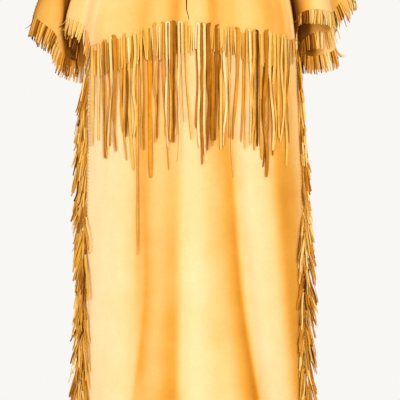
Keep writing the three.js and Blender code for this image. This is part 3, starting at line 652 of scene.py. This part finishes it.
# loose is 1 for strips that hang anyhow, and 0 for a neat row
def shortStrips(name, firstRib, lastRib, pitch, loose, seed):
    chance = np.random.default_rng(seed)
    fine = np.linspace(firstRib, lastRib, 1500)
    edge = yokeShape(fine, np.ones_like(fine))[0]
    run = np.concatenate([[0], np.cumsum(np.linalg.norm(np.diff(edge, axis=0), axis=1))])
    count = int(run[-1] / pitch)
    at = (np.arange(count) + 0.5 + chance.uniform(-0.14, 0.14, count)) * run[-1] / count
    u = np.interp(at, run, fine)
    root, normal, shade = yokeShape(u, np.ones_like(u))
    above = yokeShape(u, np.full_like(u, 0.95))[0]
    down = unit(root - above)
    along = unit(np.stack([np.interp(at, run, np.gradient(edge[:, k], run)) for k in range(3)], -1))
    square = unit(down - along * np.sum(down * along, -1, keepdims=True))  # square to the cut edge
    lies = np.clip(through(ribKnots, ribLies, u), 0, 1)
    mostRoll = shortFringe["curledAtSpots"] * atSpots(curlSpots, 0.2, u)
    rolled = chance.random(count) < np.clip(mostRoll, shortFringe["curled"], 1)
    length = through(*zip(*shortLengths), u) * chance.uniform(1 - 0.18 * loose, 1.06, count)
    length = length * np.where(rolled, shortFringe["curledLength"], 1)
    sway = chance.normal(0, 0.15, count) * loose * (1 - 0.4 * lies)
    curl = chance.normal(0.04, 0.07, count) * loose + rolled * chance.uniform(0.4, 1.2, count)
    curl = curl * (1 - lies)
    steps = shortFringe["steps"]
    width = through(*zip(*fillTable), u) * pitch * chance.uniform(*shortFringe["widths"], count)
    start = root - down * shortFringe["root"]
    paths = [start]
    inValley = atSpots(valleys, 0.3, u)
    squareShare = (0.44 - 0.36 * inValley)[:, None]
    length = length * (1 - 0.2 * inValley)
    heading = unit(squareShare * square + (1 - squareShare) * down)
    pull = np.array([0, 0, -1.0]) * (shortFringe["gravity"] * (0.5 + 0.5 * lies[:, None]))
    for k in range(steps - 1):
        part = (k + 1) / (steps - 1)
        sideways = along * (sway * shortFringe["sway"] * part)[:, None]
        outwards = normal * (curl * shortFringe["curl"] * part)[:, None]
        heading = unit(heading + pull + sideways + outwards)
        paths.append(paths[-1] + heading * ((length + shortFringe["root"]) / (steps - 1))[:, None])
    paths = np.stack(paths, 1)
    side = np.where(u < frontRibs, -1, 1)[:, None]
    x, drop = paths[..., 0], -paths[..., 2]
    clear = np.where(side < 0, skirtOut(-1, x, drop), skirtOut(1, x, drop))
    layer = chance.uniform(*shortFringe["layer"], count)[:, None]
    inside = np.abs(x) < np.where(x < 0, level(1, drop), level(2, drop))
    out = np.maximum(side * paths[..., 1], np.where(inside, clear + layer, -np.inf))  # not in the skirt
    laid = np.clip(2 * lies[:, None] - 0.6, 0, 1)
    paths[..., 1] = side * blend(out, clear + layer, laid * np.linspace(0, 1, steps)[None, :] ** 0.5)
    paths[:, 0] = start
    tilt = chance.normal(0, 0.34, count)[:, None, None] * np.linspace(0, 1, steps)[None, :, None]
    facing = unit(normal[:, None, :] + along[:, None, :] * tilt)
    narrow = np.linspace(1, shortFringe["taper"], steps)[None, :] * width[:, None]
    turned = (chance.random(count) < shortFringe["turned"]) * (1 - 0.5 * lies)
    # painted shade: strips take the hide's painted shade, and some are painted darker as if in shade
    tone = shortFringe["tone"] + shortFringe["hideShadeTone"] * shade
    tone = tone + shortFringe["curledTone"] * rolled * (1 - lies) + shortFringe["paintedDarkTone"] * turned
    tone = np.clip(tone + chance.normal(0, shortFringe["toneSpread"], count), 0, 1)
    return strips(name, paths, facing, narrow, tone, fringeSuede, twist=0.6, seed=seed)


sleeveFringeLeft = shortStrips("sleeveFringeLeft", 0, 8, pitch=3.3, loose=0.5, seed=31)
yokeFringeFront = shortStrips("yokeFringeFront", 8, 19, pitch=4.6, loose=1, seed=32)
sleeveFringeRight = shortStrips("sleeveFringeRight", 19, 36, pitch=3.4, loose=0.5, seed=33)
yokeFringeBack = shortStrips("yokeFringeBack", 36, fullTurn, pitch=3.3, loose=0.5, seed=34)
print("short fringe made")


# long thongs, drawn through the hide at the roots of the front fringe
longThongs = {
    "steps": 28, "hookSteps": 3, "hook": 3.6, "holeAbove": 5, "under": 3.4, "over": 11, "taper": 0.82,
    "seed": 51, "front": 0.8,  # front: share of the thongs of the table that hang over the short fringe
}
# each thong: x at its root, x and drop at its tip, width, and tone from 0 (pale) to 1 (orange brown)
thongs = np.array([
    (-250, -250, 588, 7, 0.35), (-234, -233, 574, 5, 0.3), (-222, -217, 618, 6, 0.75),
    (-216, -212, 620, 5, 0.5), (-204, -204, 596, 6, 0.15), (-193, -190, 603, 8, 0.7),
    (-170, -166, 624, 5.5, 0.5), (-156, -151, 648, 7, 0.4), (-144, -144, 569, 6, 0.25),
    (-137, -136, 852, 4.5, 0.5), (-127, -124, 596, 5, 0.4), (-107, -103, 666, 10, 0.62),
    (-96, -91, 582, 6, 0.5), (-73, -64, 648, 4, 0.6), (-67, -64, 593, 5, 0.05), (-59, -54, 531, 4, 0.1),
    (-54, -53, 581, 6, 0.75), (-47, -48, 582, 7, 0.85), (-37, -36, 627, 5, 0.08),
    (-29, -24, 533, 5, 0.15), (-19, -7, 574, 5, 0.35), (12, 12, 593, 6, 0.05), (18, 19, 634, 5.5, 0.8),
    (25, 26, 610, 6, 0.12), (34, 35, 600, 8, 0.85), (43, 46, 578, 7, 0.75), (53, 54, 576, 6, 0.85),
    (64, 65, 600, 6, 0.3), (74, 75, 590, 6, 0.05), (83, 93, 666, 3.5, 0.35), (89, 84, 571, 6, 0.4),
    (107, 96, 574, 8, 0.6), (127, 122, 596, 5, 0.45), (134, 139, 588, 5, 0.1), (144, 140, 583, 6, 0.5),
    # painted shade: the dark thongs at x 154, 167 and 190 stand in for shadowed gaps between thongs
    (154, 153, 590, 5, 1), (160, 164, 622, 6, 0.6), (167, 168, 640, 5, 0.9), (190, 192, 612, 5, 0.85),
    (163, 163, 600, 5, 0.1), (174, 173, 664, 10, 0.75), (185, 190, 600, 6, 0.2),
    (194, 197, 598, 6, 0.35), (204, 206, 571, 6, 0.4), (215, 214, 578, 5, 0.25),
    (222, 224, 638, 5.5, 0.35), (233, 229, 581, 6, 0.3),
], float)
# more, hung behind the short fringe: from x, to x, how many
thongGroups = ((-208, -176, 2), (-166, -128, 2), (-86, -40, 4), (8, 60, 5), (120, 176, 3), (180, 226, 2))


def thongStrips(name):
    chance = np.random.default_rng(longThongs["seed"])
    rows = [thongs]
    for low, high, count in thongGroups:
        x = np.linspace(low, high, count) + chance.uniform(-3, 3, count)
        rows.append(np.stack([x, x + chance.normal(0, 3, count), chance.uniform(545, 600, count),
                              chance.uniform(4.5, 7, count), chance.uniform(0.3, 0.95, count)], -1))
    table = np.concatenate(rows)
    count, steps = len(table), longThongs["steps"]
    rootX, tipX, tipDrop, wide, tone = table.T
    behind = np.arange(count) >= len(thongs)
    behind |= chance.random(count) > longThongs["front"]
    laid = [r for r in ribs[:frontRibs] if r[2] is onSkirt]
    holeDrop = through([r[1] for r in laid], [r[3] for r in laid], rootX) - longThongs["holeAbove"]
    part = np.linspace(0, 1, steps - longThongs["hookSteps"])[None, :]
    drop = blend(holeDrop[:, None], tipDrop[:, None], part)
    waves = chance.uniform(1.2, 3.4, count)[:, None]
    bend = chance.normal(0, 2.4, count)[:, None] * np.sin(part * math.pi * waves)
    x = rootX[:, None] + (tipX - rootX)[:, None] * part**1.6 + bend * part**0.5
    fromHole = drop - holeDrop[:, None]
    ripple = np.sin(part * 9 + chance.uniform(0, 6, count)[:, None])
    free = ease(10, 80, fromHole)
    over = blend(longThongs["over"], longThongs["under"] + 1.5, ease(66, 130, fromHole)) + ripple * free
    lift = np.where(behind[:, None], longThongs["under"] + 0.6 * ripple * free, over)
    lift = lift + chance.uniform(0, 3.2, count)[:, None] * ease(60, 140, fromHole)
    way = np.where(np.arange(count) % 2, -1, 1)[:, None]
    turn = np.radians([160, 105, 50])[None, :]  # the way round the hook, from behind the hide to its front
    hookX = rootX[:, None] + way * longThongs["hook"] * (1 - np.cos(turn))
    hookDrop = holeDrop[:, None] - longThongs["hook"] * np.sin(turn)
    hookLift = np.where(behind[:, None], longThongs["under"], np.array([[5.5, 9.0, 10.5]]))
    x = np.concatenate([hookX, x], 1)
    drop = np.concatenate([hookDrop, drop], 1)
    lift = np.concatenate([hookLift + 0 * hookX, lift], 1)
    paths = skirtPoints(-1, x, drop, lift)
    along = np.linspace(0, 1, steps)[None, :]
    yaw = chance.normal(0, 0.4, count)[:, None]
    yaw = yaw + 0.5 * np.sin(along * 7 * waves + waves * 5) * ease(0.15, 0.5, along)
    edgeOn = chance.choice([0, 0, 1.3, -1.3], count)[:, None]  # about half of them turn nearly edge on
    yaw = yaw + edgeOn * ease(0.2, 0.9, along + chance.uniform(-0.4, 0.3, count)[:, None])
    facing = np.stack([np.sin(yaw), -np.cos(yaw), 0 * yaw], -1)
    width = wide[:, None] * np.linspace(1.0, longThongs["taper"], steps)[None, :]
    width[:, -1] *= 0.7  # narrow tips
    return strips(name, paths, facing, width, tone, thongSuede, twist=0.5, seed=longThongs["seed"])


longThongPiece = thongStrips("longThongs")
print("long thongs made")


# fringed welts in the side seams
sideFringe = {
    "pitch": 2.5, "width": 4.6, "length": 98, "steps": 10, "clump": 42, "aboveHem": 8, "lowest": 1296,
    "tone": 0.38, "clumpTone": 0.18, "toneSpread": 0.26,
}
# at a drop: how far the strips stand out, on the left and on the right
leftReach = (
    (390, 32), (440, 35), (570, 37), (750, 38), (830, 32), (880, 28), (940, 31), (1070, 35), (1290, 37),
)
rightReach = (
    (350, 13), (430, 19), (480, 15), (520, 18), (550, 24), (620, 24), (800, 31), (890, 36), (970, 33),
    (1010, 30), (1100, 36), (1290, 36),
)
inwardShare = ((350, 0), (700, 0), (760, 1), (1290, 2.4))  # of ten strips, those that fall over the skirt


def weltStrips(name, side, startDrop, reachTable, seed):
    chance = np.random.default_rng(seed)
    endDrop = skirt["hemDrop"] - sideFringe["aboveHem"]
    count = int((endDrop - startDrop) / sideFringe["pitch"])
    steps = sideFringe["steps"]
    drop = np.linspace(startDrop, endDrop, count) + chance.uniform(-1.5, 1.5, count)
    drop = np.sort(drop).clip(startDrop, endDrop)
    column = 1 if side < 0 else 2
    part = np.linspace(0, 1, steps)[None, :]
    length = sideFringe["length"] * chance.uniform(0.62, 1.15, count)
    length = np.minimum(length, sideFringe["lowest"] - drop)
    most = through(*zip(*reachTable), drop)
    inward = chance.random(count) < through(*zip(*inwardShare), drop) / 10
    reach = np.where(inward, -chance.uniform(6, 15, count), most * chance.uniform(0.08, 1.0, count) ** 0.7)
    reach = reach * np.minimum(length / 60, 1)
    layer = np.where(inward, -1, chance.choice([-1, -1, -1, 1], count))
    outward = part ** chance.uniform(0.5, 0.95, count)[:, None]
    below = part ** 1.08
    x = (level(column, drop) - 1)[:, None] + reach[:, None] * outward
    bend = chance.normal(0, 1.6, count)[:, None]
    x = x + bend * np.sin(part * math.pi * chance.uniform(1, 2.4, count)[:, None])
    # tips lie over the roots of the strips below
    spread = chance.uniform(3.5, 10, count)[:, None] * part**0.8
    over = np.where(inward[:, None], 7 + 6 * ease(0, 0.4, part), 0)
    y = layer[:, None] * (0.9 + spread + over)
    z = -drop[:, None] - length[:, None] * below
    paths = np.stack([side * x, y + 0 * x, z], -1)
    yaw = chance.normal(0, 0.6, count)[:, None] + chance.normal(0, 0.5, count)[:, None] * part
    facing = np.stack([np.sin(yaw), -np.cos(yaw), 0 * yaw], -1)
    width = sideFringe["width"] * chance.uniform(0.7, 1.3, count)[:, None] * (1 - 0.3 * part**2)
    tone = sideFringe["tone"] + sideFringe["clumpTone"] * lumps(drop, 0, sideFringe["clump"], seed)
    tone = np.clip(tone + chance.normal(0, sideFringe["toneSpread"], count), 0, 1)
    return strips(name, paths, facing, width, tone, weltSuede, twist=0.9, seed=seed)


sideFringeLeft = weltStrips("sideFringeLeft", -1, startDrop=396, reachTable=leftReach, seed=61)
sideFringeRight = weltStrips("sideFringeRight", 1, startDrop=348, reachTable=rightReach, seed=62)
print("side fringe made")


# sinew stitches: over the shoulder seams, and down both sides of the side seams
def stitchTree(name):
    tree = bpy.data.node_groups.new(name, "GeometryNodeTree")
    face = tree.interface
    face.new_socket("Geometry", in_out="INPUT", socket_type="NodeSocketGeometry")
    for label, size in (("Spacing", 0.008), ("Span", 0.003), ("Thread radius", 0.0007), ("Slant", 0.5)):
        face.new_socket(label, in_out="INPUT", socket_type="NodeSocketFloat").default_value = size
    face.new_socket("Material", in_out="INPUT", socket_type="NodeSocketMaterial")
    face.new_socket("Geometry", in_out="OUTPUT", socket_type="NodeSocketGeometry")
    given = add(tree, "NodeGroupInput").outputs
    facing = add(tree, "GeometryNodeInputNamedAttribute", {"data_type": "FLOAT_VECTOR"}, {"Name": "facing"})
    paths = add(tree, "GeometryNodeMeshToCurve", links={"Mesh": given["Geometry"]})
    turned = add(tree, "GeometryNodeSetCurveNormal", {"mode": "FREE"}, {
        "Curve": paths.outputs[0], "Normal": facing.outputs["Attribute"]})
    places = add(tree, "GeometryNodeCurveToPoints", {"mode": "LENGTH"}, {
        "Curve": turned.outputs[0], "Length": given["Spacing"]})
    arch = add(tree, "GeometryNodeCurveArc", {"mode": "RADIUS"}, {
        "Resolution": 7, "Radius": given["Span"], "Start Angle": 0.0, "Sweep Angle": math.pi})
    thread = add(tree, "GeometryNodeCurvePrimitiveCircle", links={
        "Resolution": 5, "Radius": given["Thread radius"]})
    stitch = add(tree, "GeometryNodeCurveToMesh", links={
        "Curve": arch.outputs[0], "Profile Curve": thread.outputs[0], "Fill Caps": True})
    slant = add(tree, "ShaderNodeCombineXYZ", links={"X": math.pi / 2, "Y": 0.0, "Z": given["Slant"]})
    upright = add(tree, "GeometryNodeTransform", links={
        "Geometry": stitch.outputs[0], "Rotation": slant.outputs[0], "Scale": (1.0, 0.34, 1.0)})
    placed = add(tree, "GeometryNodeInstanceOnPoints", links={
        "Points": places.outputs["Points"], "Instance": upright.outputs[0]})
    swing = add(tree, "FunctionNodeAxesToRotation", {"primary_axis": "Z", "secondary_axis": "X"}, {
        "Primary Axis": places.outputs["Normal"], "Secondary Axis": places.outputs["Tangent"]})
    tree.links.new(swing.outputs[0], placed.inputs["Rotation"])
    made = add(tree, "GeometryNodeRealizeInstances", links={"Geometry": placed.outputs[0]})
    painted = add(tree, "GeometryNodeSetMaterial", links={
        "Geometry": made.outputs[0], "Material": given["Material"]})
    add(tree, "NodeGroupOutput", links={"Geometry": painted.outputs[0]})
    return tree


sewnStitches = stitchTree("sinew stitches")
# whip stitches over the shoulder seams, between two shares of the way from the neck to the yoke's edge
shoulderSewing = {"spacing": 8, "span": 3.4, "slant": 1.1, "thread": 0.65, "reach": (0.02, 0.985)}
# running stitches beside the side seams, from drop to drop
sideSewing = {
    "spacing": 9, "span": 2.6, "slant": 0.5, "thread": 0.65, "reach": (332, 1284), "besideSeam": 5,
}


def stitched(name, lines, sewing):  # lines of points with the way the hide faces there
    points, facing, edges = [], [], []
    for line, out in lines:
        start = sum(len(p) for p in points)
        points.append(line)
        facing.append(out)
        edges += [(start + i, start + i + 1) for i in range(len(line) - 1)]
    count = sum(len(p) for p in points)
    line = meshObject(name, np.concatenate(points), edges=edges, values={
        "facing": np.concatenate(facing), "tone": np.full(count, 0.3)})
    return grown(name, line, sewnStitches, sinew, Spacing=sewing["spacing"] * mm, Span=sewing["span"] * mm,
                 Slant=sewing["slant"], **{"Thread radius": sewing["thread"] * mm})


v = np.linspace(*shoulderSewing["reach"], 160)
shoulderLines = []
for rib in (0, frontRibs):
    line, out, _ = yokeShape(np.full_like(v, rib), v)
    shoulderLines.append((line + out * yoke["thick"] / 2, out))
shoulderStitches = stitched("shoulderStitches", shoulderLines, shoulderSewing)

drop = np.linspace(*sideSewing["reach"], 400)
sideLines = []
for side in (-1, 1):
    for hand in (-1, 1):
        x = hand * (level(1 if hand < 0 else 2, drop) - sideSewing["besideSeam"])
        line = skirtPoints(side, x, drop, skirt["thick"] / 2)
        beside = skirtPoints(side, x - hand * 2, drop, skirt["thick"] / 2)
        out = unit(np.cross(unit(np.gradient(line, axis=0)), unit(line - beside)) * -side * hand)
        sideLines.append((line, out * np.sign(out[:, 1:2]) * side))
sideStitches = stitched("sideStitches", sideLines, sideSewing)
print("stitches made")


# how each piece belongs to the dress
pieces = [
    (skirtFront, "skirt_hide", ["skirt_front"]),
    (skirtBack, "skirt_hide", ["skirt_back"]),
    (yokeFront, "yoke_hide", ["yoke_front"]),
    (yokeBack, "yoke_hide", ["yoke_back"]),
    (yokeFringeFront, "short_fringe", ["yoke_fringe_front"]),
    (yokeFringeBack, "short_fringe", ["yoke_fringe_back"]),
    (sleeveFringeLeft, "short_fringe", ["sleeve_fringe_left"]),
    (sleeveFringeRight, "short_fringe", ["sleeve_fringe_right"]),
    (longThongPiece, "long_thongs", ["long_fringe_front"]),
    (sideFringeLeft, "side_fringe", ["side_fringe_left"]),
    (sideFringeRight, "side_fringe", ["side_fringe_right"]),
    (shoulderStitches, "yoke_hide", []),
    (sideStitches, "skirt_hide", []),
]
for piece, slotName, nodes in pieces:
    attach(piece, "root")
    if nodes:
        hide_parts(*nodes)
    area = sum(p.area for p in piece.data.polygons)
    print(piece.name, len(piece.data.polygons), "faces, area", round(area, 4), "m2")


# studio: pale floor, soft light, camera square to the front
studio = {
    "floorRadius": 1100, "floorDrop": 1450, "paper": "#F2F0EC",
    "walls": "#F8F7F4", "air": "#FFEFD2", "airStrength": 0.46,
    "cameraAway": 3000, "dressFront": 80, "cameraX": 14.4, "cameraDrop": 720, "seen": 960,
}
rim = np.linspace(0, math.tau, 96, endpoint=False)
disc = np.stack([np.cos(rim), np.sin(rim), 0 * rim], -1) * studio["floorRadius"]
disc[:, 2] = -studio["floorDrop"]
floor = meshObject("floor", disc, faces=[tuple(range(len(rim)))])
paper = bpy.data.materials.new("matt studio paper")
paper.use_nodes = True
paper.node_tree.nodes["Principled BSDF"].inputs["Base Color"].default_value = linear(studio["paper"])
paper.node_tree.nodes["Principled BSDF"].inputs["Roughness"].default_value = 0.9
floor.data.materials.append(paper)

world = bpy.data.worlds.new("studio")
world.use_nodes = True
scene.world = world
tree = world.node_tree
tree.nodes.clear()
seen = add(tree, "ShaderNodeLightPath").outputs["Is Camera Ray"]
walls = add(tree, "ShaderNodeBackground", links={"Color": linear(studio["walls"]), "Strength": 1.0})
air = add(tree, "ShaderNodeBackground", links={
    "Color": linear(studio["air"]), "Strength": studio["airStrength"]})
both = add(tree, "ShaderNodeMixShader", links={0: seen, 1: air.outputs[0], 2: walls.outputs[0]})
add(tree, "ShaderNodeOutputWorld", links={"Surface": both.outputs[0]})


def softbox(name, place, aim, size, watts, colour):
    light = bpy.data.lights.new(name, "AREA")
    light.shape = "DISK"
    light.size = size
    light.energy = watts
    light.color = linear(colour)[:3]
    made = bpy.data.objects.new(name, light)
    made.location = place
    made.rotation_mode = "QUATERNION"
    made.rotation_quaternion = (Vector(aim) - Vector(place)).to_track_quat("-Z", "Y")
    scene.collection.objects.link(made)


# places, aims and sizes of the lights are in metres
softbox("key", place=(1.1, -3.2, 0.0), aim=(0, 0, -0.7), size=0.9, watts=70, colour="#FFFAF2")
softbox("back", place=(0.5, 3.0, 0.1), aim=(0, 0, -0.7), size=2.2, watts=40, colour="#FFFAF2")
softbox("fill", place=(-2.0, -2.6, -0.4), aim=(0, 0, -0.8), size=2.0, watts=32, colour="#FFFCF2")

scene.view_settings.view_transform = "Standard"
camera = bpy.data.objects.new("camera", bpy.data.cameras.new("camera"))
scene.collection.objects.link(camera)
cameraY = -(studio["cameraAway"] + studio["dressFront"])
camera.location = (studio["cameraX"] * mm, cameraY * mm, -studio["cameraDrop"] * mm)
camera.rotation_euler = (math.pi / 2, 0, 0)
camera.data.angle = 2 * math.atan(studio["seen"] / 2 / studio["cameraAway"])
scene.camera = camera
print("studio made")
